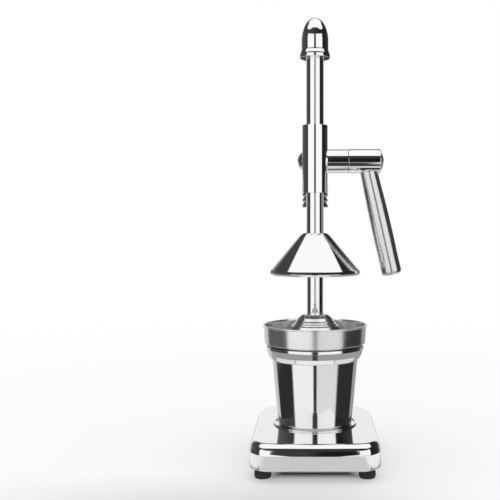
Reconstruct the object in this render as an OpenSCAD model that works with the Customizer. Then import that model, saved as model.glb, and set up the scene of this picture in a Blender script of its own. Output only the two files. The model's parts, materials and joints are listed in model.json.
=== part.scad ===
// Rack-and-pinion lever citrus press: a chromed column stand, a sliding press cone,
// and a loose strainer and cup under it. Millimetres, +Z up, +X to the lever side,
// +Y to the column side. The origin lies on the table, in the middle of the
// footprint, so the press axis stands at x = -footprint_shift, y = 0.

/* [Frame] */
// Distance from the press axis to the middle of the overall width
footprint_shift = 13.54; // [10:0.01:20]
// Distance from the press axis back to the column axis
column_y = 64; // [62:0.5:68]

/* [Base] */
// Width of the base
base_w = 121; // [116:1:126]
// Depth of the base
base_d = 169; // [166:1:180]
// Height of the base above its feet
base_h = 24; // [22:1:30]
// Plan radius of the two front corners
base_front_r = 17; // [13:1:24]
// Plan radius of the two rear corners
base_rear_r = 32; // [24:1:34]
// Radius of the rolled top edge
base_fillet = 11; // [6:0.5:11]
// Wall thickness of the base casting
base_wall = 3; // [2.5:0.5:4]
// Height of the rubber feet
foot_h = 10.5; // [8:0.5:14]
// Radius of a rubber foot
foot_r = 8; // [7:0.5:9]
// Distance of each foot's axis from the press axis, across and along
foot_at = [48, 64]; // [40:0.5:50]
// Radius of the ring that locates the cup
ring_r = 40.5; // [40:0.5:44]
// Wire thickness of that ring
ring_wire = 2.5; // [2:0.1:3]

/* [Column] */
// Diameter of the column
column_d = 17.5; // [16:0.5:18]
// Height of the column's top end above the table
column_top = 316; // [312:1:317]

/* [Head] */
// Diameter of the sleeve that guides the rod
sleeve_d = 25.4; // [25:0.2:27]
// Height of the sleeve's lower end above the table
sleeve_z = 264; // [262:1:266]
// Length of the sleeve
sleeve_l = 67.4; // [64:0.2:72]
// Length of each guide bush in the sleeve
bush_l = 14; // [8:1:18]
// Diameter of the cross tube that holds the pinion
housing_d = 24; // [24:0.2:26]
// Distance from the press axis to the cross tube's open end
housing_x = 33.4; // [30:0.2:36]
// Height of the pinion axis above the table
pinion_z = 296.8; // [294:0.2:300]
// Diameter of the socket that takes the column
socket_d = 24.4; // [23:0.2:26]
// Diameter of the collar nut under that socket
collar_d = 28.4; // [27:0.2:30]

/* [Rack and pinion] */
// Gear module
gear_m = 1.25; // [1.25:0.05:1.25]
// Number of teeth on the pinion
teeth = 14; // [14:1:14]
// Pressure angle
pressure = 25; // [24:0.5:26]
// Play between the teeth at the pitch line
backlash = 0.16; // [0.1:0.02:0.3]
// Width of the pinion along its axis
pinion_w = 12; // [8:0.5:12]
// Diameter of the pinion's shaft
shaft_d = 12; // [11:0.5:12]

/* [Press rod and cone] */
// Diameter of the press rod
rod_d = 17.3; // [16.8:0.1:17.4]
// Height of the rod's top end above the table
rod_top = 425; // [415:1:426]
// Height of the cap's lower rim above the table
cap_z = 398.5; // [396:0.5:404]
// Overall height of the cap
cap_h = 40.5; // [36:0.5:44]
// Diameter of the cap's straight part
cap_d = 27; // [24:0.5:30]
// Height of the cone's top face above the table
cone_top = 224; // [222:0.5:226]
// Radius of the cone's rim
cone_r = 45.4; // [42:0.1:46]
// Height of the cone from rim to top face
cone_h = 41.5; // [40:0.5:43]

/* [Lever] */
// Diameter of the hub
hub_d = 24.5; // [24:0.1:26]
// Distance from the press axis to the hub's outer end
hub_end = 67; // [66:0.5:72]
// Angle at which the lever leans outwards
lever_lean = 12.8; // [8:0.1:16]
// Length of the lever from the hub's axis to its tip
lever_l = 118.5; // [100:0.5:124]
// Largest radius of the lever
lever_r = 10.3; // [9:0.1:11]

/* [Cup and strainer] */
// Radius of the cup at its foot
cup_foot_r = 36.4; // [34:0.1:37]
// Radius of the cup under its shoulder
cup_body_r = 42.6; // [41:0.1:44]
// Radius of the band at the cup's mouth
cup_band_r = 48.3; // [47.6:0.1:49]
// Height of the cup
cup_h = 78.1; // [76:0.1:80]
// Sheet thickness of the cup
cup_wall = 0.9; // [0.8:0.1:1.2]
// Radius of the strainer's rim
bowl_rim_r = 52.4; // [51.8:0.1:53]
// Height of the strainer's wall above the cup's mouth
bowl_h = 20.4; // [18:0.2:22]
// Sheet thickness of the strainer
bowl_wall = 1; // [0.8:0.1:1]
// Height of the pressing core above the strainer's floor
core_h = 31.5; // [28:0.5:31.5]
// Radius of a juice hole
hole_r = 1.3; // [1:0.1:1.5]

/* [Hidden] */
$fn = 96;

eps = 1;                              // how far a cutter runs past a face
slip = 0.05;                          // radial play of a shaft in its bush
seat = 0.03;                          // radial gap of a seated bush or sleeve
seat_z = foot_h + base_h;             // the base's top face, where the cup stands
rod_r = rod_d / 2;
column_r = column_d / 2;
sleeve_r = sleeve_d / 2;
sleeve_top = sleeve_z + sleeve_l;
housing_r = housing_d / 2;
bush_r = 10.65;                       // pocket radius of a rod bush
boss_z = foot_h + 8;                  // lower face of the column's boss in the base
plate_t = 3;                          // thickness of the stiffener plate
washer_t = 2;                         // thickness of the column's washer
bolt_r = 5;                           // M10 column bolt
foot_screw_r = 2;                     // M4 foot screw

pitch_r = gear_m * teeth / 2;
tip_r = pitch_r + gear_m;
root_r = pitch_r - 1.25 * gear_m;
base_circle_r = pitch_r * cos(pressure);
tooth_pitch = PI * gear_m;
rack_line_y = 4.9;                    // the rack's pitch line
pinion_y = rack_line_y + pitch_r;     // the pinion axis
rack_tip_y = rack_line_y + gear_m;
rack_root_y = rack_line_y - 1.25 * gear_m;
teeth_below = 13;                     // rack gaps below and above the pinion at rest
teeth_above = 20;
chamber_r = tip_r + 0.25;             // room for the pinion in the head
shaft_r = shaft_d / 2;
bearing_x = 9;                        // where the right bush starts, clear of the rod
left_face = -sleeve_r;                // where the cross tube ends on the left
hub_r = hub_d / 2;
hub_x = housing_x + 1.6;              // the friction washer fills the gap
shaft_end = hub_end - 9.5;
socket_z = 268;                       // lower end of the column socket
socket_top = column_top + 4;
collar_z = 250.8;                     // lower end of the collar nut
collar_top = 276;
mouth_z = seat_z + cup_h;             // the cup's rim, where the strainer rests
floor_z = mouth_z - 1.1;              // top of the strainer's flat floor

// Puts a sub-part drawn about the press axis into the frame.
module placed() {
    translate([-footprint_shift, 0, 0]) children();
}

// A cylinder along X from x0 to x1 on the pinion axis.
module cross_rod(r, x0, x1) {
    translate([x0, pinion_y, pinion_z]) rotate([0, 90, 0]) cylinder(r = r, h = x1 - x0);
}

// A ring about the Z axis.
module ring(r_in, r_out, h) {
    difference() {
        cylinder(r = r_out, h = h);
        translate([0, 0, -eps]) cylinder(r = r_in, h = h + 2 * eps);
    }
}

module at_feet() {
    for (x = [-1, 1], y = [-1, 1]) translate([x * foot_at.x, y * foot_at.y, 0]) children();
}

// ---- base ----

// Half section of a slab with a rolled top edge, r wide and h high.
module edge_profile(r, h, f) {
    square([r - f, h]);
    square([r, h - f]);
    translate([r - f, h - f]) intersection() {
        circle(f);
        square(f);
    }
}

// A slab with rounded plan corners and a rolled top edge.
module rolled_slab(w, d, h, front_r, rear_r, f) {
    for (s = [-1, 1]) {
        translate([s * (w / 2 - front_r), front_r - d / 2, 0])
            rotate_extrude() edge_profile(front_r, h, f);
        translate([s * (w / 2 - rear_r), d / 2 - rear_r, 0])
            rotate_extrude() edge_profile(rear_r, h, f);
    }
    translate([0, d / 2 - rear_r, 0]) rotate([90, 0, 0])
        linear_extrude(d - front_r - rear_r) {
            edge_profile(w / 2, h, f);
            mirror([1, 0]) edge_profile(w / 2, h, f);
        }
    translate([front_r - w / 2, 0, 0]) rotate([90, 0, 90])
        linear_extrude(w - 2 * front_r) mirror([1, 0]) edge_profile(d / 2, h, f);
    translate([rear_r - w / 2, 0, 0]) rotate([90, 0, 90])
        linear_extrude(w - 2 * rear_r) edge_profile(d / 2, h, f);
}

module base_body() {
    rolled_slab(base_w, base_d, base_h, base_front_r, base_rear_r, base_fillet);
}

module base_shell() {
    t = base_wall;
    placed() color("gainsboro") translate([0, 0, foot_h]) difference() {
        union() {
            difference() {
                base_body();
                translate([0, 0, -eps]) rolled_slab(base_w - 2 * t, base_d - 2 * t, base_h - t + eps,
                    base_front_r - t, base_rear_r - t, base_fillet - t);
            }
            intersection() {
                base_body();
                union() {
                    translate([0, column_y, boss_z - foot_h]) cylinder(r = 15, h = base_h);
                    at_feet() cylinder(r = foot_r - 1, h = base_h);
                }
            }
        }
        translate([0, column_y, 0]) cylinder(r = bolt_r + 0.25, h = base_h + eps);
        at_feet() translate([0, 0, -eps]) cylinder(r = foot_screw_r + slip, h = 14);
    }
}

module stiffener_plate() {
    placed() color("dimgray") difference() {
        translate([-35, column_y - 17, boss_z - plate_t]) cube([70, 30, plate_t]);
        translate([0, column_y, 0]) cylinder(r = bolt_r + 0.25, h = 40);
    }
}

module cup_ring() {
    wire = ring_wire / 2;
    placed() color("silver") translate([0, 0, seat_z]) rotate_extrude()
        translate([ring_r, 0]) intersection() {
            translate([0, 0.75]) circle(wire, $fn = 48);
            translate([-wire, 0]) square(2 * wire);
        }
}

module rubber_feet() {
    placed() color("black") at_feet() difference() {
        rotate_extrude() polygon([
            [0, 0], [foot_r - 1.2, 0], [foot_r, 1.2], [foot_r - 0.8, foot_h], [0, foot_h]
        ]);
        translate([0, 0, -eps]) cylinder(r = 4.2, h = 4.5 + eps);
        cylinder(r = foot_screw_r + 0.1, h = foot_h + eps);
    }
}

module foot_screws() {
    placed() color("silver") at_feet() {
        translate([0, 0, 1.8]) cylinder(r = 3.9, h = 2.7);
        translate([0, 0, 4.5]) cylinder(r = foot_screw_r, h = 16);
    }
}

// ---- column ----

module column() {
    placed() color("gainsboro") translate([0, column_y, 0]) difference() {
        rotate_extrude() polygon([
            [0, seat_z], [column_r - 0.6, seat_z], [column_r, seat_z + 0.6],
            [column_r, column_top - 1], [column_r - 1, column_top], [0, column_top]
        ]);
        cylinder(r = bolt_r + slip, h = seat_z + 26);
    }
}

module column_collar() {
    placed() color("gainsboro") translate([0, column_y, seat_z]) rotate_extrude() polygon([
        [column_r + seat, 0], [13, 0], [13, 5], [12.4, 6.6], [11, 7.6], [column_r + seat, 8]
    ]);
}

module column_washer() {
    placed() color("silver") translate([0, column_y, boss_z - plate_t - washer_t])
        ring(bolt_r + 0.25, 10, washer_t);
}

module column_bolt() {
    head_h = 6.4;
    head_top = boss_z - plate_t - washer_t;
    placed() color("silver") translate([0, column_y, head_top]) {
        translate([0, 0, -head_h]) cylinder(r = 17 / sqrt(3), h = head_h, $fn = 6);
        cylinder(r = bolt_r, h = seat_z - head_top + 24);
    }
}

// ---- head ----

module head_casting() {
    placed() color("gainsboro") difference() {
        union() {
            translate([0, 0, sleeve_z]) cylinder(r = sleeve_r, h = sleeve_l);
            cross_rod(housing_r, left_face, housing_x);
            translate([-7, 8, pinion_z - 15]) cube([14, column_y - 8, 32]);
            translate([0, column_y, socket_z]) cylinder(r = socket_d / 2, h = socket_top - socket_z);
        }
        translate([0, 0, sleeve_z - eps]) cylinder(r = rod_r + 0.25, h = sleeve_l + 2 * eps);
        translate([0, 0, sleeve_z - eps]) cylinder(r = bush_r, h = bush_l + eps);
        translate([0, 0, sleeve_top - bush_l]) cylinder(r = bush_r, h = bush_l + eps);
        cross_rod(chamber_r, -pinion_w / 2 - 1, housing_x + eps);
        cross_rod(shaft_r + 2, left_face - eps, 0);
        translate([0, column_y, socket_z - eps])
            cylinder(r = column_r + seat, h = column_top - socket_z + eps);
        at_set_screws() cylinder(r = 2.5 + seat, h = socket_d);
    }
}

// The two grub screws at the back of the socket, drawn along +Z.
module at_set_screws() {
    for (z = [284, 306]) translate([0, column_y + column_r + 0.01, z]) rotate([-90, 0, 0]) children();
}

module head_set_screws() {
    placed() color("dimgray") at_set_screws() difference() {
        cylinder(r = 2.5, h = 3.6);
        translate([0, 0, 1.6]) cylinder(r = 1.44, h = 3, $fn = 6);
    }
}

module head_collar_nut() {
    r = collar_d / 2;
    placed() color("gainsboro") translate([0, column_y, 0]) rotate_extrude() polygon([
        [column_r + seat, collar_z], [r - 0.8, collar_z], [r, collar_z + 0.8],
        [r, collar_z + 3], [r - 1, collar_z + 4], [r - 1, collar_z + 6],
        [r, collar_z + 7], [r, collar_z + 8.5], [r - 1, collar_z + 9.5],
        [r - 1, collar_z + 11.5], [r, collar_z + 12.5], [r, collar_top - 0.8],
        [r - 0.8, collar_top], [socket_d / 2 + seat, collar_top],
        [socket_d / 2 + seat, socket_z - 0.05], [column_r + seat, socket_z - 0.05]
    ]);
}

module rod_bush() {
    ring(rod_r + slip, bush_r - seat, bush_l);
}

module rod_bush_upper() {
    placed() color("dimgray") translate([0, 0, sleeve_top - bush_l]) rod_bush();
}

module rod_bush_lower() {
    placed() color("dimgray") translate([0, 0, sleeve_z]) rod_bush();
}

module pinion_bush_left() {
    placed() color("peru") difference() {
        cross_rod(shaft_r + 2 - seat, left_face, -pinion_w / 2 - 1);
        cross_rod(shaft_r + slip, left_face - eps, 0);
    }
}

module pinion_bush_right() {
    placed() color("peru") difference() {
        cross_rod(chamber_r - seat, bearing_x, housing_x);
        cross_rod(shaft_r + slip, 0, housing_x + eps);
    }
}

module friction_washer() {
    placed() color("dimgray") difference() {
        cross_rod(11.3, housing_x + 0.01, hub_x - 0.01);
        cross_rod(shaft_r + 0.1, housing_x - eps, hub_x + eps);
    }
}

// ---- rack and pinion ----

// Involute function of the point at radius r, in degrees.
function involute(r) = let (t = sqrt(pow(r / base_circle_r, 2) - 1)) t * 180 / PI - atan(t);

// Half the tooth's angle at radius r.
function half_tooth(r) =
    90 / teeth - backlash / 4 / pitch_r * 180 / PI + involute(pitch_r) - involute(r);

flank_r = [for (i = [0:5]) base_circle_r + (tip_r - base_circle_r) * i / 5];

function polar(r, a) = [r * cos(a), r * sin(a)];

// The tooth's outline about angle a: up one flank and down the other.
function tooth(a) = concat(
    [polar(root_r, a - half_tooth(base_circle_r))],
    [for (r = flank_r) polar(r, a - half_tooth(r))],
    [for (i = [5:-1:0]) polar(flank_r[i], a + half_tooth(flank_r[i]))],
    [polar(root_r, a + half_tooth(base_circle_r))]
);

// The pinion's outline, with one tooth towards the rack at -Y.
module pinion_outline() {
    polygon([for (i = [0:teeth - 1]) each tooth(360 * i / teeth - 90)]);
}

module pinion_shaft() {
    placed() color("silver") difference() {
        union() {
            translate([-pinion_w / 2, pinion_y, pinion_z]) rotate([0, 90, 0])
                linear_extrude(pinion_w) pinion_outline();
            cross_rod(shaft_r, left_face - 0.2, shaft_end);
            cross_rod(4, left_face - 3.4, 0);
        }
        cross_rod(2.5, shaft_end - 16, shaft_end + eps);
        translate([hub_x + 5, pinion_y - 2.02, pinion_z + 3.78]) cube([16.04, 4.04, 10]);
    }
}

// Half the width of a rack gap where the rack line is y deep.
function gap_half(y) = tooth_pitch / 4 + backlash / 4 + (y - rack_line_y) * tan(pressure);

// Everything behind the rack's toothed face, in the plane of Y and Z.
module rack_cutter() {
    low = pinion_z - (teeth_below + 0.5) * tooth_pitch;
    high = pinion_z + (teeth_above + 0.5) * tooth_pitch;
    gaps = [for (i = [-teeth_below:teeth_above]) pinion_z + i * tooth_pitch];
    polygon(concat(
        [[20, low], [rack_tip_y, low]],
        [for (z = gaps) each [
            [rack_tip_y, z - gap_half(rack_tip_y)], [rack_root_y, z - gap_half(rack_root_y)],
            [rack_root_y, z + gap_half(rack_root_y)], [rack_tip_y, z + gap_half(rack_tip_y)]
        ]],
        [[rack_tip_y, high], [20, high]]
    ));
}

// ---- press rod and cone ----

cone_seat = cone_top - 3;             // the rod's shoulder in the cone
roof_z = cone_top - 6.6;              // underside of the cone's roof

module rack_rod() {
    placed() color("gainsboro") difference() {
        union() {
            translate([0, 0, cone_seat]) cylinder(r = rod_r, h = rod_top - cone_seat);
            translate([0, 0, roof_z]) cylinder(r = 5, h = 10);
        }
        translate([-rod_d, 0, 0]) rotate([90, 0, 90]) linear_extrude(2 * rod_d) rack_cutter();
        translate([0, 0, roof_z - eps]) cylinder(r = 3 + slip, h = 18);
        translate([0, 0, rod_top - 12]) cylinder(r = 3 + slip, h = 12 + eps);
    }
}

// The cap's outline: a flared skirt, a straight body and an elliptical crown.
function cap_outline() = let (r = cap_d / 2, crown = cap_h - 20.5) concat(
    [[0, 0], [r + 1.2, 0], [r + 1.75, 0.6], [r + 1.2, 4.6], [r + 0.9, 5], [r + 1, 5.4],
     [r + 0.5, 9], [r + 0.3, 9.6], [r, 13]],
    [for (a = [0:7.5:82.5]) [r * cos(a), cap_h - crown + crown * sin(a)]],
    [[0, cap_h]]
);

module rod_cap() {
    placed() color("gainsboro") translate([0, 0, cap_z]) difference() {
        rotate_extrude() polygon(cap_outline());
        translate([0, 0, -eps]) cylinder(r = rod_r + slip, h = rod_top - cap_z + eps + 0.2);
        cylinder(r = 3 + slip, h = rod_top - cap_z + 9);
    }
}

module cap_stud() {
    placed() color("silver") translate([0, 0, rod_top - 11.5]) cylinder(r = 3, h = 20);
}

module press_cone() {
    rim_z = cone_top - cone_h;
    placed() color("gainsboro") rotate_extrude() polygon([
        [rod_r + slip, cone_top], [11, cone_top], [13, cone_top - 0.8], [14.6, cone_top - 2.4],
        [cone_r - 2, rim_z + 3.5], [cone_r, rim_z + 1.6], [cone_r, rim_z],
        [cone_r - 1.2, rim_z], [cone_r - 1.5, rim_z + 1.7], [cone_r - 3.9, rim_z + 3.7],
        [15.6, roof_z], [5 + slip, roof_z], [5 + slip, cone_seat], [rod_r + slip, cone_seat]
    ]);
}

module cone_washer() {
    placed() color("silver") translate([0, 0, roof_z - 1.2]) ring(3.1, 9.5, 1.2);
}

module cone_screw() {
    head_h = 3.3;
    placed() color("silver") translate([0, 0, roof_z - 1.2]) difference() {
        union() {
            translate([0, 0, -head_h]) cylinder(r = 5, h = head_h);
            cylinder(r = 3, h = 16);
        }
        translate([0, 0, -head_h - eps]) cylinder(r = 2.3, h = 2 + eps, $fn = 6);
    }
}

// ---- lever ----

module hub_key() {
    placed() color("dimgray")
        translate([hub_x + 5.02, pinion_y - 2, pinion_z + 3.8]) cube([16, 4, 4]);
}

hub_mid = hub_x + 17.2;               // where the lever's axis meets the hub's axis
stud_r = 3.5;                         // slim enough to pass beside the hub's counterbore

// Draws along the lever's axis: the hub's axis at the origin and the tip towards +Z.
module along_lever() {
    translate([hub_mid, pinion_y, pinion_z]) rotate([0, 180 - lever_lean, 0]) children();
}

module lever_hub() {
    placed() color("gainsboro") difference() {
        translate([0, pinion_y, pinion_z]) rotate([0, 90, 0]) rotate_extrude() polygon([
            [0, hub_x], [hub_r - 0.5, hub_x], [hub_r, hub_x + 0.5],
            [hub_r, hub_end - 1.2], [hub_r - 1.2, hub_end], [0, hub_end]
        ]);
        cross_rod(shaft_r + slip, hub_x - eps, shaft_end + eps);
        cross_rod(9.6, shaft_end + 0.5, hub_end + eps);
        translate([hub_x + 5, pinion_y - 2.02, pinion_z]) cube([16.04, 4.04, 7.84]);
        along_lever() translate([0, 0, 8]) cylinder(r = stud_r + 0.03, h = hub_r);
    }
}

module lever_arm() {
    placed() color("gainsboro") difference() {
        along_lever() rotate_extrude() polygon(concat(
            [[0, 6], [8.5, 6], [8.9, 14], [9.6, 36], [lever_r - 0.15, 60],
             [lever_r - 0.1, 90], [lever_r - 0.25, 104], [lever_r, lever_l - 6]],
            [for (a = [0:15:90]) [lever_r - 4 + 4 * cos(a), lever_l - 4.6 + 4 * sin(a)]],
            [[0, lever_l]]
        ));
        cross_rod(hub_r + 0.01, hub_x - 20, hub_end + 20);
        along_lever() cylinder(r = stud_r + 0.03, h = 34);
    }
}

module lever_stud() {
    placed() color("silver") along_lever() translate([0, 0, 8.1]) cylinder(r = stud_r, h = 25);
}

module hub_washer() {
    placed() color("silver") difference() {
        cross_rod(9.3, shaft_end + 0.5, shaft_end + 2);
        cross_rod(2.6, shaft_end, shaft_end + 3);
    }
}

module hub_screw() {
    placed() color("silver") {
        cross_rod(4.4, shaft_end + 2, shaft_end + 5);
        cross_rod(2.47, shaft_end - 15, shaft_end + 2);
    }
}

// A domed cap with a spigot, its flange lying on z = 0 and its dome towards +Z.
module dome_outline(r, h, spigot_r, spigot_h) {
    sphere_r = (r * r + h * h) / (2 * h);
    sweep = asin(r / sphere_r);
    polygon(concat(
        [[0, -spigot_h], [spigot_r, -spigot_h], [spigot_r, 0], [r, 0]],
        [for (i = [7:-1:0]) [sphere_r * sin(sweep * i / 8), h - sphere_r + sphere_r * cos(sweep * i / 8)]]
    ));
}

module hub_cap() {
    placed() color("gainsboro") translate([hub_end, pinion_y, pinion_z]) rotate([0, 90, 0])
        rotate_extrude() dome_outline(10, 2.9, 9.57, 3.5);
}

module shaft_cap() {
    placed() color("gainsboro") difference() {
        translate([left_face - 0.2, pinion_y, pinion_z]) rotate([0, -90, 0])
            rotate_extrude() dome_outline(9.3, 4.9, 4.5, 0);
        cross_rod(4 + slip, left_face - 3.6, 0);
    }
}

// ---- cup and strainer ----

function arc(c, r, a0, a1, n) = [for (i = [0:n]) c + polar(r, a0 + (a1 - a0) * i / n)];

module cup() {
    t = cup_wall;
    body_z = cup_h - 15.6;
    foot = 5.5;
    outer = concat(
        arc([cup_foot_r - foot + 0.5, foot], foot, -90, -6, 6),
        [[cup_body_r, body_z]],
        arc([cup_body_r + 0.6, body_z + 6.2], 5.1, -84, 0, 6),
        [[cup_band_r, cup_h - 1.2], [cup_band_r + 0.4, cup_h - 0.9], [cup_band_r + 0.4, cup_h]]
    );
    inner = concat(
        [[cup_band_r - t, cup_h]],
        arc([cup_body_r + 0.6, body_z + 6.2 + t], 5.1 - t / 2, 0, -84, 6),
        [[cup_body_r - t, body_z + t]],
        arc([cup_foot_r - foot + 0.5, foot], foot - t, -6, -90, 6),
        [[0, t]]
    );
    placed() color("gainsboro") translate([0, 0, seat_z])
        rotate_extrude() polygon(concat([[0, 0]], outer, inner));
}

// Rings of juice holes: [radius, count].
floor_holes = [[44.6, 40]];
core_holes = [[28, 24], [32, 28], [36, 32]];

module hole_rings(rings) {
    for (k = rings, i = [0:k[1] - 1])
        rotate(360 * i / k[1]) translate([k[0], 0, floor_z - 10]) cylinder(r = hole_r, h = 50, $fn = 24);
}

module strainer_bowl() {
    t = bowl_wall;
    rim_z = mouth_z + bowl_h;
    foot_z = mouth_z;
    placed() color("gainsboro") difference() {
        rotate_extrude() polygon([
            [38.5, floor_z - t], [41.6, floor_z - t], [46.8, foot_z], [49, foot_z],
            [50, foot_z + 0.5], [50.4, foot_z + 1.6], [51.2, rim_z - 1.4],
            [bowl_rim_r - 0.3, rim_z - 0.9], [bowl_rim_r, rim_z - 0.5], [bowl_rim_r, rim_z],
            [bowl_rim_r - 2, rim_z], [51.2 - t, rim_z - 1.6], [50.4 - t, foot_z + 2],
            [48.8, foot_z + t], [46.6, foot_z + t], [41.4, floor_z], [38.5, floor_z]
        ]);
        hole_rings(floor_holes);
    }
}

// The pressing core's outer line, from the floor to its flat top.
function core_outline(t) = let (top = floor_z + core_h) [
    [39.6 - t, floor_z + 1], [26.6 - t, top - 15.2], [25.6 - t, top - 14.2],
    [24.8 - t, top - 14.2], [21.4 - t, top - 10.2], [20.4 - t, top - 9.4],
    [19.6 - t, top - 9.4], [16.4 - t, top - 5.2], [15.6 - t, top - 2.8 - t * 0.4],
    [13.9 - t, top - 0.9 - t * 0.8], [12.2 - t, top - t]
];

module strainer_core() {
    t = 1.2;
    outer = core_outline(0);
    inner = core_outline(t);
    placed() color("gainsboro") difference() {
        rotate_extrude() polygon(concat(
            [[38.5 - t, floor_z], [41.2, floor_z], [41.2, floor_z + 1]],
            outer, [[0, floor_z + core_h], [0, floor_z + core_h - t]],
            [for (i = [len(inner) - 1:-1:0]) inner[i]]
        ));
        hole_rings(core_holes);
    }
}

base_shell();
stiffener_plate();
cup_ring();
rubber_feet();
foot_screws();
column();
column_collar();
column_bolt();
column_washer();
head_casting();
head_collar_nut();
head_set_screws();
rod_bush_upper();
rod_bush_lower();
pinion_bush_left();
pinion_bush_right();
friction_washer();
rack_rod();
rod_cap();
cap_stud();
press_cone();
cone_washer();
cone_screw();
pinion_shaft();
shaft_cap();
hub_key();
lever_hub();
lever_arm();
lever_stud();
hub_washer();
hub_screw();
hub_cap();
cup();
strainer_bowl();
strainer_core();
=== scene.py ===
"""Looks of the lever citrus press: chromed turned parts, a satin strainer, a polished cup and a studio.

Shapes are built in millimetres about their own axis, then placed in the frame, which is in metres.
"""

import json
import math

import bmesh
import bpy
from mathutils import Matrix, Vector


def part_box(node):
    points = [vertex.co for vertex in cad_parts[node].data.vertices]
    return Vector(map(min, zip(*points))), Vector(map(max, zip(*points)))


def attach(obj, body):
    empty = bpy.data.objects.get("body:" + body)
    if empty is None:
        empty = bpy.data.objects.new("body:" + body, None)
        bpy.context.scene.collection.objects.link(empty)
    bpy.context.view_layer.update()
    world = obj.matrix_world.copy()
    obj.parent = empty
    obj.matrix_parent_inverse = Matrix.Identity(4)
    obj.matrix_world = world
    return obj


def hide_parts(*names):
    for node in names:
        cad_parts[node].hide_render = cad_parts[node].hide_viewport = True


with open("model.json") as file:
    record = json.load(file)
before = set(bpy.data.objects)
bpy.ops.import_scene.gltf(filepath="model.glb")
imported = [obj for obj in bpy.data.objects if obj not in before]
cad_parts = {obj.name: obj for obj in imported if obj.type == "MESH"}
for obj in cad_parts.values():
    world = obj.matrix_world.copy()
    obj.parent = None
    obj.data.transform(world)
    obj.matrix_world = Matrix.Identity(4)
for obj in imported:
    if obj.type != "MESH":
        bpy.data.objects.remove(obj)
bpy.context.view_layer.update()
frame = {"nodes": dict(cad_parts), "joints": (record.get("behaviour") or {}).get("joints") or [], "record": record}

MM = 0.001
SEGMENTS = 160
ROD_FIT = 0.05
COLUMN_FIT = 0.03
nodes = frame["nodes"]


# ---- places, read from the frame ----

class Box:
    """A CAD node's box in millimetres."""

    def __init__(self, node):
        low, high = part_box(node)
        self.low = low / MM
        self.high = high / MM
        self.mid = (self.low + self.high) / 2
        self.size = self.high - self.low


rod = Box("rack_rod")
AXIS_X = rod.mid.x
ROD_R = rod.size.x / 2
base = Box("base_shell")
column = Box("column")
COLUMN_Y = column.mid.y
turn = next(j for j in frame["joints"] if j["name"] == "lever_turn")
PINION_Y = turn["pos_m"][1] / MM
PINION_Z = turn["pos_m"][2] / MM


# ---- outlines: lists of (x, z, nx, nz), a point and its outward normal ----

def unit(x, z):
    """The vector made one long."""
    length = math.hypot(x, z) or 1.0
    return x / length, z / length


def rounded(corners, steps=6):
    """The closed outline through corners (x, z, radius), counter-clockwise, each corner made an arc.

    A corner with radius 0 is a point of a smooth curve and gets the mean normal of its two sides.
    An arc that would not fit between its neighbours is made smaller.
    """
    outline = []
    count = len(corners)
    for i, (x, z, radius) in enumerate(corners):
        px, pz = corners[i - 1][:2]
        qx, qz = corners[(i + 1) % count][:2]
        ax, az = unit(x - px, z - pz)
        bx, bz = unit(qx - x, qz - z)
        if radius == 0:
            mx, mz = unit(ax + bx, az + bz)
            outline.append((x, z, mz, -mx))
            continue
        bend = math.atan2(ax * bz - az * bx, ax * bx + az * bz)
        reach = radius * abs(math.tan(bend / 2))
        room = 0.49 * min(math.hypot(x - px, z - pz), math.hypot(qx - x, qz - z))
        if reach > room:
            radius *= room / reach
            reach = room
        turn_side = 1 if bend > 0 else -1
        cx = x - ax * reach - az * radius * turn_side
        cz = z - az * reach + ax * radius * turn_side
        for k in range(steps + 1):
            angle = bend * k / steps
            nx = az * math.cos(angle) + ax * math.sin(angle)
            nz = -ax * math.cos(angle) + az * math.sin(angle)
            outline.append((cx + nx * radius * turn_side, cz + nz * radius * turn_side, nx, nz))
    return outline


def ellipse(a, b, centre_z, start, end, steps):
    """Points of an ellipse about (0, centre_z), from start to end degrees, as smooth corners."""
    points = []
    for i in range(steps + 1):
        t = math.radians(start + (end - start) * i / steps)
        points.append((a * math.cos(t), centre_z + b * math.sin(t), 0))
    return points


# ---- meshes ----

def finish_mesh(name, verts, faces, normals):
    """Makes a smooth object from points in millimetres with a true normal at each point."""
    mesh = bpy.data.meshes.new(name)
    mesh.from_pydata([Vector(v) * MM for v in verts], [], faces)
    mesh.validate()
    mesh.polygons.foreach_set("use_smooth", [True] * len(mesh.polygons))
    mesh.normals_split_custom_set_from_vertices([Vector(n).normalized() for n in normals])
    piece = bpy.data.objects.new(name, mesh)
    bpy.context.scene.collection.objects.link(piece)
    return piece


def lathe(name, corners, place, segments=SEGMENTS, steps=6):
    """Turns a closed outline of (radius, z, corner radius) about its own Z axis and puts it at place.

    A place that turns is worked into the points, so that the piece's own box stays upright and tight.
    """
    line = rounded(corners, steps)
    verts, normals, rings = [], [], []
    for x, z, nx, nz in line:
        if x < 1e-6:
            rings.append([len(verts)])
            verts.append((0, 0, z))
            normals.append((0, 0, nz or 1))
            continue
        rings.append([len(verts) + i for i in range(segments)])
        for i in range(segments):
            c = math.cos(math.tau * i / segments)
            s = math.sin(math.tau * i / segments)
            verts.append((x * c, x * s, z))
            normals.append((nx * c, nx * s, nz))
    faces = []
    for low, high in zip(rings, rings[1:] + rings[:1]):
        for i in range(segments):
            j = (i + 1) % segments
            if len(low) > 1 and len(high) > 1:
                faces.append((low[i], low[j], high[j], high[i]))
            elif len(low) > 1:
                faces.append((low[i], low[j], high[0]))
            elif len(high) > 1:
                faces.append((low[0], high[j], high[i]))
    turned = place.to_3x3()
    if turned != Matrix.Identity(3):
        verts = [turned @ Vector(v) for v in verts]
        normals = [turned @ Vector(n) for n in normals]
    piece = finish_mesh(name, verts, faces, normals)
    piece.matrix_world = Matrix.Translation(place.to_translation())
    return piece


def at(x, y, z):
    """A place in the frame, given in millimetres."""
    return Matrix.Translation(Vector((x, y, z)) * MM)


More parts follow.
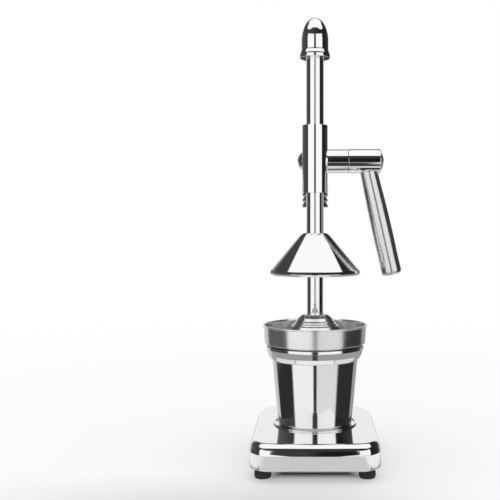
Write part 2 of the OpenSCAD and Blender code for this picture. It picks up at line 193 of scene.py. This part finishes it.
def along_x(x, flip=False):
    """A place on the pinion axis whose own Z axis runs along +X, or along -X when flipped."""
    angle = -90 if flip else 90
    return at(x, PINION_Y, PINION_Z) @ Matrix.Rotation(math.radians(angle), 4, "Y")


# ---- materials ----

class Shader:
    """A short way to write a node tree."""

    def __init__(self, tree):
        self.tree = tree
        tree.nodes.clear()

    def add(self, kind, inputs=None, **settings):
        made = self.tree.nodes.new("ShaderNode" + kind)
        for key, value in settings.items():
            setattr(made, key, value)
        for key, value in (inputs or {}).items():
            if isinstance(value, bpy.types.NodeSocket):
                self.tree.links.new(value, made.inputs[key])
            else:
                made.inputs[key].default_value = value
        return made

    def math(self, operation, *values):
        return self.add("Math", dict(enumerate(values)), operation=operation).outputs[0]

    def ramp(self, value, low, high, to_low=0.0, to_high=1.0):
        """A smooth step of value from low to high."""
        inputs = {"Value": value, "From Min": low, "From Max": high, "To Min": to_low, "To Max": to_high}
        return self.add("MapRange", inputs, interpolation_type="SMOOTHSTEP").outputs["Result"]

    def band(self, value, low, high, soft):
        """1 where value lies between low and high, with soft edges."""
        rise = self.ramp(value, low - soft, low + soft)
        fall = self.ramp(value, high - soft, high + soft)
        return self.math("SUBTRACT", rise, fall)

    def noise(self, vector, scale, detail=2.0, roughness=0.5):
        inputs = {"Vector": vector, "Scale": scale, "Detail": detail, "Roughness": roughness}
        return self.add("TexNoise", inputs).outputs[0]

    def mix(self, factor, a, b):
        """A level between a and b."""
        return self.add("Mix", {0: factor, 2: a, 3: b}, data_type="FLOAT").outputs[0]

    def blend(self, factor, a, b):
        """A colour between a and b."""
        made = self.add("Mix", {0: factor, 6: a, 7: b}, data_type="RGBA")
        return made.outputs[2]


def grey(level, blue=1.0):
    """An opaque grey, its blue scaled by blue."""
    return (level, level, level * blue, 1.0)


def object_coordinates(s):
    """Where the shaded point lies on its own piece, in metres."""
    return s.add("TexCoord").outputs["Object"]


def turned_coordinates(s):
    """Coordinates that run round the piece's own axis: radius, a little of the angle, and height."""
    xyz = s.add("SeparateXYZ", {0: object_coordinates(s)}).outputs
    squares = [s.math("MULTIPLY", xyz[i], xyz[i]) for i in (0, 1)]
    radius = s.math("SQRT", s.math("ADD", *squares))
    angle = s.math("ARCTAN2", xyz[1], xyz[0])
    return s.add("CombineXYZ", {0: radius, 1: s.math("MULTIPLY", angle, 0.0016), 2: xyz[2]}).outputs[0]


def metal(name, colour, rough, bump, lines=0.0, line_scale=2600.0):
    """Plated or polished metal: smudges in the roughness, fine marks and turned lines in the bump.

    The argument lines sets how strong the turned lines are.
    """
    material = bpy.data.materials.new(name)
    material.use_nodes = True
    s = Shader(material.node_tree)
    where = object_coordinates(s)
    smudge = s.noise(where, 38.0, 4.0, 0.6)
    marks = s.noise(where, 900.0, 3.0, 0.7)
    turned = s.noise(turned_coordinates(s), line_scale, 2.0, 0.6)
    spread = s.math("ADD", s.math("MULTIPLY", smudge, 0.6), s.math("MULTIPLY", marks, 0.4))
    roughness = s.ramp(spread, 0.35, 0.65, rough[0], rough[1])
    if lines:
        roughness = s.math("MULTIPLY_ADD", turned, lines * 0.12, roughness)
    height = s.math("MULTIPLY_ADD", turned, lines, s.math("MULTIPLY", marks, 0.25))
    normal = s.add("Bump", {"Height": height, "Strength": bump, "Distance": 0.00004}).outputs[0]
    tint = s.blend(smudge, tuple(0.94 * c for c in colour[:3]) + (1.0,), colour)
    shader = s.add("BsdfPrincipled", {
        "Base Color": tint, "Metallic": 1.0, "Roughness": roughness, "Normal": normal})
    s.add("OutputMaterial", {"Surface": shader.outputs[0]})
    return material


def polymer(name, colour, rough, grain_scale, bump):
    """Moulded nylon or rubber with a fine grain and dusty patches."""
    material = bpy.data.materials.new(name)
    material.use_nodes = True
    s = Shader(material.node_tree)
    where = object_coordinates(s)
    grain = s.noise(where, grain_scale, 3.0, 0.6)
    dust = s.noise(where, 60.0, 3.0, 0.6)
    tint = s.blend(s.ramp(dust, 0.45, 0.8), colour, tuple(1.8 * c for c in colour[:3]) + (1.0,))
    normal = s.add("Bump", {"Height": grain, "Strength": bump, "Distance": 0.0001}).outputs[0]
    shader = s.add("BsdfPrincipled", {
        "Base Color": tint, "Roughness": s.ramp(dust, 0.3, 0.7, rough[0], rough[1]), "Normal": normal})
    s.add("OutputMaterial", {"Surface": shader.outputs[0]})
    return material


CHROME = metal("chrome", grey(0.93, 1.005), (0.015, 0.05), 0.02)
HANDLED = metal("handled_chrome", grey(0.76, 1.0), (0.19, 0.25), 0.04)
POLISHED = metal("polished_steel", grey(0.90, 1.0), (0.03, 0.08), 0.05, lines=0.5)
SATIN = metal("satin_steel", grey(0.92, 1.0), (0.11, 0.16), 0.10, lines=1.0)
ZINC = metal("zinc_steel", (0.70, 0.71, 0.73, 1.0), (0.22, 0.38), 0.3)
BLACK_STEEL = metal("black_steel", grey(0.09), (0.3, 0.45), 0.3)
BRONZE = metal("bronze", (0.62, 0.40, 0.20, 1.0), (0.35, 0.5), 0.5)
NYLON = polymer("black_nylon", grey(0.025), (0.38, 0.55), 1800.0, 0.25)
RUBBER = polymer("black_rubber", grey(0.018), (0.6, 0.8), 2400.0, 0.5)
SLOTS = {
    "chrome": CHROME, "polished_steel": POLISHED, "satin_steel": SATIN, "zinc_steel": ZINC,
    "black_steel": BLACK_STEEL, "bronze": BRONZE, "black_nylon": NYLON, "black_rubber": RUBBER,
}


def dress(piece, slot, body, *stands_for, material=None):
    """Gives a new piece its material and its body, and hides the CAD nodes that it stands for.

    The material is the slot's own unless another is given.
    """
    piece.data.materials.clear()
    piece.data.materials.append(material or SLOTS[slot])
    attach(piece, body)
    if stands_for:
        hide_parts(*stands_for)
    return piece


def dress_cad_nodes():
    """Gives every CAD node its slot's material and smooth shading, with its edges left sharp."""
    for sub in frame["record"]["subparts"]:
        piece = nodes[sub["node"]]
        piece.data.materials.clear()
        piece.data.materials.append(SLOTS[sub["material_slot"]])
        piece.data.polygons.foreach_set("use_smooth", [True] * len(piece.data.polygons))
        piece.data.set_sharp_from_angle(angle=math.radians(28))


# ---- base ----

BASE_FRONT_R = 20
BASE_REAR_R = 32
BASE_ROLL_IN = 7
BASE_ROLL_DOWN = 10.2
BASE_WALL = 3
BASE_BOW_R = 1000
BASE_BOW_DEPTH = 40
BASE_LIP_R = 0.9
BASE_LIP_INNER_R = 0.6


def plan_points(inset):
    """The base's plan outline moved in by inset, with the outward direction at each point."""
    half_w, half_d = base.size.x / 2, base.size.y / 2
    steps = 28
    points = []
    for sx, sy, start, radius in (
            (1, -1, -90, BASE_FRONT_R), (1, 1, 0, BASE_REAR_R),
            (-1, 1, 90, BASE_REAR_R), (-1, -1, 180, BASE_FRONT_R)):
        centre_x = base.mid.x + sx * (half_w - radius)
        centre_y = base.mid.y + sy * (half_d - radius)
        arc_r = radius - inset
        for i in range(steps + 1):
            a = math.radians(start + 90 * i / steps)
            out = (math.cos(a), math.sin(a))
            points.append((centre_x + arc_r * out[0], centre_y + arc_r * out[1], out))
    return bowed_front(points)


def bowed_front(points):
    """Bends the front edge and its corners back along a wide arc, so that it bulges a little forward."""
    front_y = base.mid.y - base.size.y / 2
    straight = base.size.x / 2 - BASE_FRONT_R
    count = 16
    edge = []
    for i in range(1, count):
        x = base.mid.x - straight + 2 * straight * i / count
        edge.append((x, points[0][1], (0.0, -1.0)))
    bent = []
    for x, y, (ox, oy) in points + edge:
        near = max(0.0, 1 - (y - front_y) / BASE_BOW_DEPTH)
        off = x - base.mid.x
        slope = near * off / BASE_BOW_R
        bent.append((x, y + near * off * off / (2 * BASE_BOW_R), (ox + slope * abs(oy), oy)))
    return bent


def rolled_edge(reach, drop, top, outside, start, end, steps):
    """Part of the base's section: (inset, z, outward normal, upward normal) along part of an ellipse.

    The ellipse touches the height top and the inset outside, and reaches in and down from there. With
    a negative reach it lies on the other side of the inset outside.
    """
    points = []
    for i in range(steps + 1):
        a = math.radians(start + (end - start) * i / steps)
        out, up = unit(math.cos(a) / reach, math.sin(a) / drop)
        points.append((outside + reach - reach * math.cos(a), top - drop + drop * math.sin(a), out, up))
    return points


def build_base():
    """The base shell: a rolled edge swept round the plan, with a hollow underside."""
    low, high, wall = base.low.z, base.high.z, BASE_WALL
    section = rolled_edge(BASE_ROLL_IN, BASE_ROLL_DOWN, high, 0, 90, 0, 18)
    section += rolled_edge(BASE_LIP_R, BASE_LIP_R, low + 2 * BASE_LIP_R, 0, 0, -90, 6)
    lip = BASE_LIP_INNER_R
    section += rolled_edge(-lip, lip, low + 2 * lip, wall, -90, 0, 4)
    inner = rolled_edge(BASE_ROLL_IN - wall, BASE_ROLL_DOWN - wall, high - wall, wall, 90, 0, 10)
    section += [(inset, z, -out, -up) for inset, z, out, up in reversed(inner)]
    verts, normals, rings = [], [], []
    for inset, z, out, up in section:
        ring = []
        for x, y, (ox, oy) in plan_points(inset):
            ring.append(len(verts))
            verts.append((x, y, z))
            normals.append((ox * out, oy * out, up))
        rings.append(ring)
    faces = []
    count = len(rings[0])
    for upper, lower in zip(rings, rings[1:]):
        for i in range(count):
            j = (i + 1) % count
            faces.append((upper[j], upper[i], lower[i], lower[j]))
    faces.append(tuple(rings[0]))
    faces.append(tuple(reversed(rings[-1])))
    dress(finish_mesh("base_cover", verts, faces, normals), "chrome", "stand", "base_shell")


def build_bosses_and_feet():
    """The bosses under the base's top that take the column bolt and the foot screws, and the feet."""
    low, high = base.low.z, base.high.z
    plate = Box("stiffener_plate")
    bolt_r, boss_r = 5.3, 15
    top = high - BASE_WALL + 1
    boss = [(bolt_r, plate.high.z, 0.3), (boss_r, plate.high.z, 0.8), (boss_r, top, 0.2), (bolt_r, top, 0.2)]
    dress(lathe("column_boss", boss, at(AXIS_X, COLUMN_Y, 0), 64), "chrome", "stand")
    feet = Box("rubber_feet")
    foot_r, screw_r, recess_r, recess_z = 8, 2.1, 4.2, 4.5
    rear_extra = 4
    overlap = 0.5
    for i, (sx, sy) in enumerate(((-1, -1), (1, -1), (1, 1), (-1, 1))):
        x = feet.mid.x + sx * (feet.size.x / 2 - foot_r)
        y = feet.mid.y + sy * (feet.size.y / 2 - foot_r)
        top = high - (BASE_WALL if sy < 0 else BASE_WALL + rear_extra) + overlap
        boss = [(screw_r, low, 0.2), (foot_r - 1, low, 0.5), (foot_r - 1, top, 0.2), (screw_r, top, 0.2)]
        dress(lathe(f"foot_boss_{i + 1}", boss, at(x, y, 0), 48), "chrome", "stand")
        foot = [
            (screw_r, recess_z, 0.1), (recess_r, recess_z, 0.2), (recess_r, 0, 0.4), (foot_r - 0.6, 0, 1.2),
            (foot_r, 3.2, 2.0), (foot_r - 0.9, low, 0.5), (screw_r, low, 0.2),
        ]
        made = lathe(f"rubber_foot_{i + 1}", foot, at(x, y, 0), 64)
        dress(made, "black_rubber", "stand", "rubber_feet")


def build_cup_ring():
    """The half-sunk wire that keeps the cup in place."""
    ring = Box("cup_ring")
    wire, inset, rise = 1.0, 0.25, 0.4
    centre_r = ring.size.x / 2 - wire - inset
    sunk = math.degrees(math.asin(rise / wire))
    steps = 24
    corners = []
    for i in range(steps + 1):
        a = math.radians(-sunk + (180 + 2 * sunk) * i / steps)
        corners.append((centre_r + wire * math.cos(a), ring.low.z + rise + wire * math.sin(a), 0))
    piece = lathe("cup_ring_wire", corners, at(AXIS_X, 0, 0), 192)
    dress(piece, "chrome", "stand", "cup_ring")


# ---- column and head ----

def build_column():
    """The column and the collar at its foot."""
    low, high, r = column.low.z, column.high.z, column.size.x / 2
    body = [(0, low, 0), (r, low, 0.6), (r, high, 1), (0, high, 0)]
    dress(lathe("column_bar", body, at(AXIS_X, COLUMN_Y, 0)), "chrome", "stand", "column")
    foot = Box("column_collar")
    bore = r + COLUMN_FIT
    z, r = foot.low.z, foot.size.x / 2
    top = z + 8
    collar = [(bore, z, 0.1), (r, z, 0.3), (r, z + 5.4, 2.2), (r - 2.4, top, 1.4), (bore, top, 0.3)]
    dress(lathe("column_foot_collar", collar, at(AXIS_X, COLUMN_Y, 0)), "chrome", "stand", "column_collar")


def build_collar_nut():
    """The grooved nut under the column socket."""
    nut = Box("head_collar_nut")
    z, top, r = nut.low.z, nut.high.z, nut.size.x / 2
    bore = column.size.x / 2 + COLUMN_FIT
    socket, ledge = 12.25, top - 8
    groove = r - 1.3
    corners = [
        (bore, z, 0.2), (r, z, 0.9), (r, z + 3.2, 0.7), (groove, z + 4.3, 0.7), (groove, z + 6.1, 0.7),
        (r, z + 7.2, 0.7), (r, z + 8.8, 0.7), (groove, z + 9.9, 0.7), (groove, z + 11.7, 0.7),
        (r, z + 12.8, 0.7), (r, top, 0.9), (socket, top, 0.2), (socket, ledge, 0.1), (bore, ledge, 0.1),
    ]
    dress(lathe("collar_nut", corners, at(AXIS_X, COLUMN_Y, 0)), "chrome", "stand", "head_collar_nut")


# ---- plunger ----

def build_cap():
    """The flared bullet cap on the rod."""
    cap = Box("rod_cap")
    z, top, skirt = cap.low.z, cap.high.z, cap.size.x / 2
    body = skirt - 1.75
    crown, blunt = 23.5, 0.55
    bore = ROD_R + ROD_FIT
    corners = [
        (bore, z, 0.2), (skirt, z, 0.5), (skirt, z + 3.0, 0.3), (skirt - 0.27, z + 4.2, 0.3),
        (body, z + 7.9, 5.0), (body, z + 13, 3),
    ]
    corners += ellipse(body, crown, top - crown, 0, 76, 36)
    corners += [(0, top - blunt, 0), (0, z + 27, 0.0), (bore, z + 26.7, 0.2)]
    dress(lathe("rod_end_cap", corners, at(AXIS_X, 0, 0), steps=8), "chrome", "plunger", "rod_cap")


def build_cone():
    """The hollow press cone with its thin rim."""
    cone = Box("press_cone")
    z, top, r = cone.low.z, cone.high.z, cone.size.x / 2
    roof, shoulder = top - 6.6, top - 3
    bore, neck = ROD_R + ROD_FIT, 5.05
    corners = [
        (bore, top, 0.2), (bore, shoulder, 0.1), (neck, shoulder, 0.1), (neck, roof, 0.2),
        (15.6, roof, 2.4), (r - 2.1, z + 1.8, 3.0), (r - 1.9, z, 0.3), (r - 1.0, z, 0.3),
        (r, z + 2.0, 0.6), (r - 1.0, z + 4.8, 3.0), (14.7, top - 2.0, 3.0), (12, top, 2.0),
    ]
    dress(lathe("press_cone_shell", corners, at(AXIS_X, 0, 0), 224, 8), "chrome", "plunger", "press_cone")


# ---- lever ----

LEVER_LEAN = 12.8
LEVER_START = 9
LEVER_LENGTH = 118.4
LEVER_ALONG_HUB = 17.2


def build_hub():
    """The hub, whose edge laps over the friction washer, and the domes at both ends of the pinion axis."""
    hub = Box("lever_hub")
    r, length = hub.size.z / 2, hub.size.x
    lap, washer_r = 1.15, 11.45
    shaft_r, pocket_r, pocket = 6.05, 9.6, length - 9
    corners = [
        (shaft_r, 0, 0.2), (washer_r, 0, 0.1), (washer_r, -lap, 0.1), (r, -lap, 1.5), (r, length, 1.3),
        (pocket_r, length, 0.3), (pocket_r, pocket, 0.2), (shaft_r, pocket, 0.2),
    ]
    dress(lathe("lever_hub_body", corners, along_x(hub.low.x)), "chrome", "lever", "lever_hub")
    hub_cap_spigot, steps = 3.5, 20
    for node, flip, spigot_r, spigot_h in (("hub_cap", False, 9.5, 3.4), ("shaft_cap", True, 4.4, 0.4)):
        box = Box(node)
        dome = box.size.x if flip else box.size.x - hub_cap_spigot
        rim = box.size.z / 2
        sphere = (rim * rim + dome * dome) / (2 * dome)
        sweep = math.degrees(math.asin(rim / sphere))
        arc = []
        for i in range(1, steps + 1):
            a = math.radians(sweep * (1 - i / steps))
            arc.append((sphere * math.sin(a), dome - sphere + sphere * math.cos(a), 0))
        spigot = [(0, -spigot_h, 0), (spigot_r, -spigot_h, 0.2), (spigot_r, 0.0, 0.05)]
        corners = spigot + [(rim, 0.0, 0.25)] + arc
        x = box.low.x if flip else box.high.x
        start = x + dome if flip else x - dome
        dress(lathe(node + "_dome", corners, along_x(start, flip)), "chrome", "lever", node)


def build_lever():
    """The tapered handle, swollen a little below its middle, with a blunt rounded end."""
    hub = Box("lever_hub")
    end_r = 10.3
    body = [
        (8.7, LEVER_START), (8.9, 14), (9.2, 24), (9.6, 36), (9.95, 48), (10.15, 60), (10.25, 72),
        (10.25, 84), (10.1, 96), (10.1, 104), (10.25, 110),
    ]
    corners = [(0, LEVER_START, 0)] + [(x, z, 30) for x, z in body]
    corners += [(end_r, LEVER_LENGTH - 0.6, 4.2), (0, LEVER_LENGTH, 0)]
    lean = Matrix.Rotation(math.radians(90 - LEVER_LEAN), 4, "Y")
    place = along_x(hub.low.x + LEVER_ALONG_HUB) @ lean
    piece = lathe("lever_handle", corners, place, steps=8)
    dress(piece, "chrome", "lever", "lever_arm", material=HANDLED)


# ---- cup and strainer ----

JUICE_HOLE_R = 1.3
DRILL_LENGTH = 60


def drill(piece, place, holes):
    """Cuts round holes (x, y, radius) right through a piece, up and down, and evens out its shading."""
    maker = bmesh.new()
    for x, y, radius in holes:
        bmesh.ops.create_cone(
            maker, cap_ends=True, segments=20, radius1=radius * MM, radius2=radius * MM,
            depth=DRILL_LENGTH * MM, matrix=Matrix.Translation(Vector((x, y, 0)) * MM))
    mesh = bpy.data.meshes.new(piece.name + "_drills")
    maker.to_mesh(mesh)
    maker.free()
    drills = bpy.data.objects.new(piece.name + "_drills", mesh)
    bpy.context.scene.collection.objects.link(drills)
    drills.matrix_world = place
    cut = piece.modifiers.new("holes", "BOOLEAN")
    cut.operation = "DIFFERENCE"
    cut.object = drills
    bpy.context.view_layer.update()
    cut_mesh = bpy.data.meshes.new_from_object(piece.evaluated_get(bpy.context.evaluated_depsgraph_get()))
    piece.modifiers.clear()
    piece.data = cut_mesh
    bpy.data.objects.remove(drills)
    cut_mesh.set_sharp_from_angle(angle=math.radians(30))
    even = piece.modifiers.new("even_shading", "WEIGHTED_NORMAL")
    even.keep_sharp = True


def circle_of_holes(count, ring_r):
    """Juice holes evenly spaced round a circle, the first one on the X axis."""
    angles = [math.tau * i / count for i in range(count)]
    return [(ring_r * math.cos(a), ring_r * math.sin(a), JUICE_HOLE_R) for a in angles]


def build_strainer():
    """The strainer bowl with its curled foot, and the stepped core that stands in it."""
    bowl = Box("strainer_bowl")
    z, top, r = bowl.low.z, bowl.high.z, bowl.size.x / 2
    opening = 38.5
    corners = [
        (opening, z, 0.1), (41.6, z, 0.5), (46.9, z + 2.15, 0.3), (50.3, z + 4.7, 0.5),
        (51.2, top - 1.5, 0.3), (r, top - 0.9, 0.3), (r, top, 0.25), (r - 2, top, 0.3),
        (r - 2.2, top - 1.5, 0.5), (49.5, z + 5.4, 1.4), (48.0, z + 3.2, 0.6), (46.6, z + 3.1, 0.6),
        (41.4, z + 1, 0.5), (opening, z + 1, 0.1),
    ]
    place = at(AXIS_X, 0, 0)
    piece = lathe("strainer_bowl_shell", corners, place, 240, 8)
    drill(piece, at(AXIS_X, 0, 112), circle_of_holes(40, 44.6))
    dress(piece, "satin_steel", "strainer", "strainer_bowl")
    core = Box("strainer_core")
    z = core.low.z
    wall, flange_r, height = 1.2, 41.2, 31.5
    steps = [
        (39.6, 1.0, 0.6), (26.6, 14.9, 1.0), (23.3, 20.3, 0.5), (21.8, 21.2, 0.3), (21.1, 22.4, 0.3),
        (19.9, 23.1, 0.3), (19.2, 24.3, 0.3), (18.0, 25.6, 0.5), (16.4, 28.3, 0.6), (14.6, 30.2, 0.5),
        (12.6, height, 0.8),
    ]
    corners = [(37.3, z, 0.1), (flange_r, z, 0.2), (flange_r, z + 1.0, 0.3)]
    corners += [(x, z + h, round_r) for x, h, round_r in steps]
    corners += [(0, z + height, 0), (0, z + height - wall, 0)]
    corners += [(x - wall, z + h - wall, round_r) for x, h, round_r in reversed(steps)]
    piece = lathe("strainer_core_shell", corners, place, 200, 6)
    holes = circle_of_holes(24, 28) + circle_of_holes(28, 32) + circle_of_holes(32, 36)
    drill(piece, at(AXIS_X, 0, 120), holes)
    dress(piece, "satin_steel", "strainer", "strainer_core")


def build_cup():
    """The tapered cup with its banded mouth and rolled edge."""
    cup = Box("cup")
    z, top = cup.low.z, cup.high.z
    lip_r = cup.size.x / 2
    band, body, foot, wall = lip_r - 0.4, lip_r - 6.1, lip_r - 12.3, 0.9
    body_z = top - 13.6
    corners = [
        (0, z, 0), (foot - 2, z, 0.4), (foot + 0.2, z + 0.6, 2.0), (body, body_z, 1.0),
        (body + 1.7, body_z + 1.2, 1.2), (body + 4.0, body_z + 4.8, 2.0), (lip_r, top - 2.6, 1.5),
        (lip_r - 0.2, top, 1.0), (band - wall, top, 0.4),
        (band - wall, top - 3.2, 1.5), (body + 3.0, body_z + 5.2, 1.6), (body + 1.0, body_z + 2.0, 1.2),
        (body - wall, body_z + 0.6, 1.2), (foot - wall + 0.2, z + 1.4, 1.4), (foot - 2, z + wall, 0.4),
        (0, z + wall, 0),
    ]
    dress(lathe("juice_cup", corners, at(AXIS_X, 0, 0), 224, 8), "polished_steel", "cup", "cup")


# ---- studio ----

class Studio(Shader):
    """The room as mirrors see it: levels of light laid over each other, each inside a mask of directions.

    Azimuth 0 is behind the camera, positive to the right, and side is the azimuth without its sign.
    Height counts up from the horizon. All three are in degrees.
    """

    def __init__(self, tree):
        super().__init__(tree)
        to_degrees = 180 / math.pi
        self.xyz = self.add("SeparateXYZ", {0: self.add("TexCoord").outputs["Generated"]}).outputs
        towards_camera = self.math("MULTIPLY", self.xyz[1], -1.0)
        turned = self.math("ARCTAN2", self.xyz[0], towards_camera)
        self.azimuth = self.math("MULTIPLY", turned, to_degrees)
        self.height = self.math("MULTIPLY", self.math("ARCSINE", self.xyz[2]), to_degrees)
        self.side = self.math("ABSOLUTE", self.azimuth)
        self.right = self.ramp(self.azimuth, -2.0, 2.0)
        self.level = None

    def both(self, a, b):
        """The mask of what lies in both masks."""
        return self.math("MULTIPLY", a, b)

    def left_right(self, left_level, right_level):
        """One level left of the camera's back and another right of it."""
        return self.ramp(self.right, 0.0, 1.0, left_level, right_level)

    def above(self, edge, soft):
        """The mask of what is higher than edge. A negative soft gives the mask of what is lower."""
        return self.ramp(self.math("SUBTRACT", self.height, edge), -soft, soft)

    def lay(self, mask, level):
        """Covers what is there with level, where mask is 1."""
        self.level = self.mix(mask, self.level, level)


OVERHEAD = 1.05  # the level of the large light, and of the boxes' upper parts


def lay_flags(s):
    """Dark flags all round, darker on the right and low down, with a dim band low on the left."""
    flag_left = s.ramp(s.side, 66.0, 160.0, 0.045, 0.12)
    flag_right = s.ramp(s.side, 66.0, 150.0, 0.010, 0.045)
    s.level = s.mix(s.right, flag_left, flag_right)
    s.lay(s.ramp(s.height, 18.0, 26.0), s.ramp(s.azimuth, -60.0, 60.0, 0.055, 0.02))
    s.lay(s.ramp(s.height, -4.0, -10.0), 0.028)
    low_left = s.both(s.math("SUBTRACT", 1.0, s.right), s.band(s.height, -15.0, -10.5, 0.5))
    s.lay(low_left, 0.14)


def lay_back_wall(s):
    """The grey wall behind the press, with a glow above it and a bright window with a dark sill line."""
    wall = s.both(s.ramp(s.side, 127.0, 133.0), s.band(s.height, -60.0, 3.5, 1.0))
    s.lay(wall, s.left_right(0.62, 0.34))
    glow = s.both(s.ramp(s.side, 138.0, 168.0), s.band(s.height, 8.0, 24.0, 6.0))
    s.lay(glow, s.left_right(0.45, 0.22))
    window = s.both(s.ramp(s.side, 158.0, 164.0), s.band(s.height, -14.0, 20.0, 2.0))
    s.lay(window, 0.90)
    sill = s.both(s.ramp(s.side, 168.0, 172.0), s.band(s.height, -14.0, -10.5, 0.5))
    s.lay(sill, 0.06)


def lay_soft_boxes(s):
    """Two soft boxes left and right of the camera, a gap between them, and the large light overhead."""
    gap = s.math("ADD", s.ramp(s.height, -38.0, -36.0, 0.0, 4.6), s.ramp(s.height, -15.0, 0.0, 0.0, 3.2))
    beside = s.both(s.ramp(s.math("SUBTRACT", s.side, gap), -0.6, 0.6), s.ramp(s.side, 68.0, 61.0))
    left_level = s.ramp(s.height, -12.0, 0.0, 0.98, OVERHEAD)
    right_level = s.ramp(s.height, -12.0, 0.0, 0.79, OVERHEAD)
    s.lay(s.both(beside, s.band(s.height, -40.0, 26.5, 1.5)), s.mix(s.right, left_level, right_level))
    edge = s.math("ADD", s.ramp(s.side, 14.0, 66.0, 49.0, 38.0), s.ramp(s.side, 86.0, 106.0, 0.0, 12.5))
    s.lay(s.above(edge, 1.5), OVERHEAD)


def lay_low_lights(s):
    """Low down: a grey strip in front, a grey ring with a dark slot, a pale floor and a dark spot below."""
    strip = s.both(s.ramp(s.side, 68.0, 64.0), s.band(s.height, -18.4, -15.2, 0.4))
    s.lay(strip, 0.64)
    ring_top = s.ramp(s.side, 93.0, 130.0, -31.5, -22.5)
    s.lay(s.above(ring_top, -1.0), s.ramp(s.side, 6.5, 8.5, 0.05, 0.36))
    floor_edge = s.ramp(s.side, 75.0, 130.0, -52.5, -33.0)
    s.lay(s.above(floor_edge, -1.5), 0.8)
    tilt = math.radians(5)
    down = s.math("MULTIPLY", s.xyz[2], -math.cos(tilt))
    down = s.math("ADD", down, s.math("MULTIPLY", s.xyz[1], -math.sin(tilt)))
    spot = s.ramp(down, math.cos(math.radians(18)), math.cos(math.radians(16)))
    s.lay(spot, 0.03)


def build_world():
    """The studio for mirrors, white for the camera, and an even soft light for everything else."""
    world = bpy.data.worlds.new("studio")
    bpy.context.scene.world = world
    world.use_nodes = True
    s = Studio(world.node_tree)
    lay_flags(s)
    lay_back_wall(s)
    lay_soft_boxes(s)
    lay_low_lights(s)
    path = s.add("LightPath").outputs
    seen = s.mix(path["Is Glossy Ray"], 1.06, s.level)
    seen = s.mix(path["Is Camera Ray"], seen, 1.0)
    background = s.add("Background", {"Color": grey(1.0), "Strength": seen})
    s.add("OutputWorld", {"Surface": background.outputs[0]})


def floor_material():
    """Pale paper that fades out into the white, with a painted shade in front and a painted shadow under the base.

    A mirror sees it only beside the base and only from close by, and looks through the rest.
    """
    material = bpy.data.materials.new("floor")
    material.use_nodes = True
    s = Shader(material.node_tree)
    where = object_coordinates(s)
    distance = s.add("VectorMath", {0: where}, operation="LENGTH").outputs["Value"]
    xyz = s.add("SeparateXYZ", {0: where}).outputs
    off_side = s.math("ABSOLUTE", s.math("SUBTRACT", xyz[0], base.mid.x * MM))
    off_end = s.math("ABSOLUTE", xyz[1])
    half = base.size / 2 * MM
    # How far a point lies inside the base's footprint, which sets where the painted shadow lies.
    under = s.math("MINIMUM", s.math("SUBTRACT", half.x, off_side), s.math("SUBTRACT", half.y, off_end))
    path = s.add("LightPath").outputs
    beside = s.math("MULTIPLY", s.ramp(off_side, 0.083, 0.103), s.ramp(path["Ray Length"], 0.110, 0.095))
    grain = s.noise(where, 300.0, 2.0)
    pale = s.blend(grain, (0.91, 0.91, 0.925, 1.0), (0.94, 0.94, 0.95, 1.0))
    # Painted shade: a dimmer colour for a soft shadow pool on the paper in front of the base.
    dim = (0.68, 0.685, 0.70, 1.0)
    # Painted shadow: a near-black colour laid on the paper under the base.
    dark = grey(0.05)
    # Mask of the painted shade pool: in front of the base, fading out with distance and towards the right.
    front = s.math("MULTIPLY", s.ramp(xyz[1], -0.04, -0.16), s.ramp(distance, 0.42, 0.10))
    front = s.math("MULTIPLY", front, s.ramp(xyz[0], 0.14, -0.04))
    # The tint carries the painted shade pool in front and, deep inside the base's footprint, the painted shadow.
    tint = s.blend(s.ramp(under, 0.012, 0.032), s.blend(front, pale, dim), dark)
    shade = s.add("BsdfDiffuse", {"Color": tint})
    # Painted light: part of the paper glows in its own tint, which lightens the shadows on it.
    lit = s.add("Emission", {"Color": tint, "Strength": 1.04})
    paper = s.add("MixShader", {0: 0.35, 1: shade.outputs[0], 2: lit.outputs[0]})
    clear = s.add("BsdfTransparent")
    fade = s.ramp(distance, 0.35, 1.4)
    unseen = s.math("MULTIPLY", path["Is Glossy Ray"], s.math("SUBTRACT", 1.0, beside))
    mix = s.add("MixShader", {0: s.math("MAXIMUM", fade, unseen), 1: paper.outputs[0], 2: clear.outputs[0]})
    s.add("OutputMaterial", {"Surface": mix.outputs[0]})
    return material


def build_floor():
    """A round table under the press."""
    mesh = bpy.data.meshes.new("floor")
    maker = bmesh.new()
    bmesh.ops.create_circle(maker, cap_ends=True, radius=3.0, segments=96)
    maker.to_mesh(mesh)
    maker.free()
    floor = bpy.data.objects.new("floor", mesh)
    bpy.context.scene.collection.objects.link(floor)
    floor.data.materials.append(floor_material())


CAMERA_DISTANCE = 800.0
CAMERA_HEIGHT = 231.0


def build_camera():
    """A level camera in front of the press, a little above its middle, shifted to set the press right."""
    camera = bpy.data.objects.new("camera", bpy.data.cameras.new("camera"))
    bpy.context.scene.collection.objects.link(camera)
    camera.data.sensor_width = 36.0
    camera.data.lens = 57.6
    camera.data.shift_x = -0.13
    camera.data.shift_y = -0.048
    camera.location = Vector((AXIS_X, -CAMERA_DISTANCE, CAMERA_HEIGHT)) * MM
    camera.rotation_euler = (math.radians(90), 0, 0)
    bpy.context.scene.camera = camera


bpy.context.scene.view_settings.view_transform = "Standard"
dress_cad_nodes()
build_base()
build_bosses_and_feet()
build_cup_ring()
build_column()
build_collar_nut()
build_cap()
build_cone()
build_hub()
build_lever()
build_cup()
build_strainer()
build_world()
build_floor()
build_camera()
